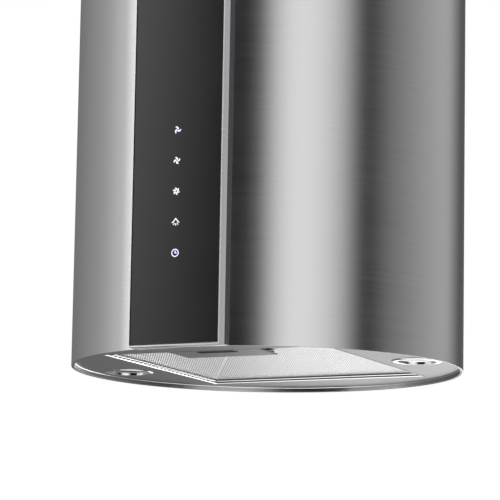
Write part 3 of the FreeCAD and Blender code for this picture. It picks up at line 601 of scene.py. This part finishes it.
def make_bottom():
    """The round bottom plate, with openings for the filter and the lamps."""
    low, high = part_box("bottom_plate")
    opening = box_outline(-119 * MM, 119 * MM, -129 * MM, 129 * MM, 2.5 * MM)
    lamps = [ring_outline(side * 158 * MM, 6 * MM, 21.5 * MM) for side in (-1, 1)]
    outlines = [ring_outline(0, 0, high.x, 360), opening, *lamps]
    plate = sheet_mesh("bottom_panel", outlines, low.z, high.z, 0.3 * MM)
    # The plate takes plate_steel, a darker copy of the casing steel: painted shade.
    show("bottom_panel", plate, "steel_casing", "plate_steel", replaces=["bottom_plate"])


# ---------------------------------------------------------------- grease filter

def make_filter_mesh(level, pitch, width):
    """One of the filter's two outer layers, with pitch and width of its strands in millimetres."""
    low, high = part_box(f"filter_mesh_{level}")
    mesh = strand_mesh(f"mesh_{level}", low, high, pitch * MM, width * MM)
    show(f"mesh_{level}", mesh, "filter_aluminium", "mesh_aluminium", body="grease_filter",
         replaces=[f"filter_mesh_{level}"])


def make_hem(name, walls, bottom, out):
    """A sloping hem along the inside of the left, rear and right walls, moved out by some millimetres."""
    left, right, front, rear = walls
    height = 0.8
    lip = ((0.12, 0.0), (0.5, 0.27), (0.8, 0.52), (0.95, 0.68), (0.95, height))
    section = [(0.0, 0.0), *((out + proud, up) for proud, up in lip), (0.0, height)]
    rings = [[], [], [], []]
    for into, z in scaled(section, bottom):
        path = ((left + into, front), (left + into, rear - into),
                (right - into, rear - into), (right - into, front))
        for ring, (x, y) in zip(rings, path):
            ring.append((x, y, z))
    shape = bmesh.new()
    loft(shape, rings)
    show(name, built(name, shape), "filter_aluminium", "hem_aluminium", body="grease_filter", crease=30)


def make_ribs(walls, bottom, top):
    """Slanted ribs between the hems of the side walls, which stand out further towards the top."""
    left, right, front, rear = walls
    step, width, lean = 9.1 * MM, 3.6 * MM, 4.4 * MM
    shape = bmesh.new()
    for face, inward in ((left, 1), (right, -1)):
        near, far = face + inward * 0.6 * MM, face + inward * 1.9 * MM
        for i in range(int((rear - front - 9 * MM) / step)):
            y = front + 4 * MM + i * step
            plan = ((y, bottom, near), (y + width, bottom, near),
                    (y + width + lean, top, far), (y + lean, top, far))
            loft(shape, [[(face, a, z) for a, z, _ in plan], [(x, a, z) for a, z, x in plan]])
    show("wall_ribs", built("wall_ribs", shape), "filter_aluminium", "hem_aluminium", body="grease_filter")


def make_filter():
    """The filter's mesh layers, and the folds of its frame round the recess under them."""
    make_filter_mesh("lower", 2.6, 1.6)
    make_filter_mesh("upper", 4.0, 1.3)
    low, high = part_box("filter_frame")
    wall, ledge = 1.2 * MM, low.z + 3 * MM
    walls = (low.x + wall, high.x - wall, low.y + wall, high.y - wall)
    make_hem("lower_hem", walls, low.z + 0.05 * MM, 0.0)
    make_hem("upper_hem", walls, ledge - 0.8 * MM, 1.0)
    make_ribs(walls, low.z + 0.9 * MM, ledge - 0.75 * MM)


def make_springs():
    """The latch's two coils."""
    low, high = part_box("latch_springs")
    wire, turns, steps, sides = 0.25 * MM, 6, 18, 8
    radius = (high.z - low.z) / 2 - wire
    start, length = low.y + wire, high.y - low.y - 2 * wire
    level = (low.z + high.z) / 2
    shape = bmesh.new()
    for centre in (low.x + radius + wire, high.x - radius - wire):
        rings = []
        for i in range(turns * steps + 1):
            a = math.tau * i / steps
            out = Vector((math.cos(a), 0.0, math.sin(a)))
            middle = Vector((centre, start + length * i / (turns * steps), level)) + out * radius
            section = ring_outline(0.0, 0.0, wire, sides)
            rings.append([middle + out * across + Vector((0.0, along, 0.0)) for across, along in section])
        loft(shape, rings)
    coils = show("spring_coils", built("spring_coils", shape), "screw_steel", body="grease_filter",
                 replaces=["latch_springs"], crease=60)
    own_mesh(coils)


# ---------------------------------------------------------------- lamps

def make_lamp(side):
    """A recessed spot: rounded chrome ring, domed glass, faceted bowl and a small light-emitting disc."""
    bore, neck, flange = 19.0, 21.2, 25.0
    low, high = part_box(f"lamp_bezel_{side}")
    centre = ((low.x + high.x) / 2, (low.y + high.y) / 2)
    lip = ((bore, 0.8), (bore + 0.25, 0.25), (bore + 0.8, 0.02), (bore + 1.3, 0.0), (flange - 2.2, 0.0),
           (flange - 0.9, 0.3), (flange, 0.9), (flange, 1.2), (neck, 1.2))
    ring = [(neck * MM, high.z), (bore * MM, high.z), *scaled(lip, low.z)]
    show(f"lamp_ring_{side}", turned(f"lamp_ring_{side}", ring, 96, centre), "lamp_chrome",
         replaces=[f"lamp_bezel_{side}"], crease=40)

    low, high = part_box(f"lamp_lens_{side}")
    dome = scaled([(bore * s, 1.4 * s * s) for s in (0.0, 0.25, 0.5, 0.75, 0.9, 0.99)], low.z)
    dome += scaled([(bore * s, -0.3) for s in (0.99, 0.9, 0.0)], high.z)
    show(f"lamp_glass_{side}", turned(f"lamp_glass_{side}", dome, 72, centre), "lamp_glass",
         replaces=[f"lamp_lens_{side}"], crease=40)

    low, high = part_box(f"lamp_reflector_{side}")
    depth = (high.z - low.z) / MM
    bowl = [(bore * s, depth * (1 - s) ** 0.6 * 0.92 + 0.1) for s in (0.98, 0.88, 0.74, 0.58, 0.4, 0.25)]
    back = [(r + 0.3, z + 0.35) for r, z in reversed(bowl)]
    back[-1] = (bore * 0.985, back[-1][1])
    mirror = turned(f"lamp_mirror_{side}", scaled(bowl + back, low.z), 28, centre)
    # The bowl takes lamp_bowl, its chrome darkened near black: painted shade inside the lamp.
    show(f"lamp_mirror_{side}", mirror, "lamp_chrome", "lamp_bowl",
         replaces=[f"lamp_reflector_{side}"], crease=3)

    chip = ((0.0, -1.6), (2.6, -1.5), (3.4, -1.1), (3.6, -0.4), (4.6, -0.4), (4.6, -0.1), (0.0, -0.1))
    show(f"lamp_chip_{side}", turned(f"lamp_chip_{side}", scaled(chip, high.z), 36, centre), "led_white",
         "lamp_phosphor", crease=40)


# ---------------------------------------------------------------- control panel

FACING_FRONT = Matrix.Rotation(math.radians(90), 4, "X")


def fan_symbol(blades, far, long, wide, swirl):
    """Oval blades set off from a hub and skewed round it, in millimetres and radians."""
    outlines = []
    for blade in range(blades):
        outline = []
        for i in range(20):
            a = math.tau * i / 20
            radial, sideways = far + long * math.cos(a), wide * math.sin(a)
            turn = math.tau * blade / blades + 0.05 + swirl * (radial / (far + long) - 0.5)
            outline.append((radial * math.sin(turn) + sideways * math.cos(turn),
                            radial * math.cos(turn) - sideways * math.sin(turn)))
        outlines.append(outline)
    return outlines


def lamp_symbol():
    """A lampshade over five short rays, in millimetres."""
    shade = [(0.0, 4.1), (3.0, 0.4), (1.7, 0.4), (0.0, 2.4), (-1.7, 0.4), (-3.0, 0.4)]
    corners = ((1.9, -0.38), (4.2, -0.46), (4.2, 0.46), (1.9, 0.38))
    rays = []
    for degrees in (104, 142, 180, 218, 256):
        a = math.radians(degrees)
        rays.append([(r * math.sin(a + w / r), 0.6 + r * math.cos(a + w / r)) for r, w in corners])
    return [shade, *rays]


def timer_symbol():
    """A clock face with two hands, in millimetres."""
    hands = [(-0.45, -0.5), (1.9, -0.5), (1.9, 0.4), (0.45, 0.4), (0.45, 2.2), (-0.45, 2.2)]
    return [ring_outline(0, 0, 3.8, 48), ring_outline(0, 0, 2.9, 48), hands]


def make_panel():
    """The bevelled touch glass and its five lit symbols: three fan speeds, lamp and timer downwards."""
    low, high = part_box("touch_glass")
    face = low.y + 0.08 * MM
    outline = box_outline(low.x, high.x, low.z, high.z, 1.2 * MM)
    glass = sheet_mesh("control_glass", [outline], -high.y, -face, 0.5 * MM, FACING_FRONT)
    show("control_glass", glass, "touch_glass", replaces=["touch_glass"])
    symbols = (("speed_low", "lit_symbol", fan_symbol(3, 2.1, 1.7, 1.05, -1.3)),
               ("speed_mid", "pale_symbol", fan_symbol(4, 2.15, 1.6, 0.95, -1.1)),
               ("speed_high", "pale_symbol", fan_symbol(6, 2.25, 1.5, 0.8, -0.8)),
               ("lamp", "pale_symbol", lamp_symbol()),
               ("timer", "lit_symbol", timer_symbol()))
    lowest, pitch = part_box("lower_casing")[0].z + 86.5 * MM, 29.4 * MM
    sunk, proud = 0.01 * MM, 0.05 * MM
    for place, (name, finish, outlines) in enumerate(symbols):
        height = lowest + (len(symbols) - 1 - place) * pitch
        placed = [scaled(outline, height) for outline in outlines]
        mesh = sheet_mesh(f"symbol_{name}", placed, -face - sunk, -face + proud, 0.0, FACING_FRONT, 0)
        show(f"symbol_{name}", mesh, "led_white", finish)


# ---------------------------------------------------------------- the whole picture

add_camera()
add_studio()
add_floor()
add_light("low_light", (-0.44, 1.66, -1.24), (0.05, 0.0, -0.86), 0.66, 1.6)
add_light("rear_light", (-0.12, 1.66, -1.70), (0.0, 0.0, -0.86), 0.6, 2.4)
add_light("foot_light", (-0.14, 0.34, -1.95), (0.0, 0.1, -0.86), 1.0, 3.0)
materials = {name: surface(name, **options) for name, options in FINISHES.items()}
dress_nodes()
make_casing()
make_sleeve()
make_rim(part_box("bottom_plate")[1].z)
make_bottom()
make_filter()
make_springs()
make_lamp("left")
make_lamp("right")
make_panel()
soften(["panel_channel", "filter_frame"], 0.35)
soften(["latch_plate", "latch_slider"], 0.25)
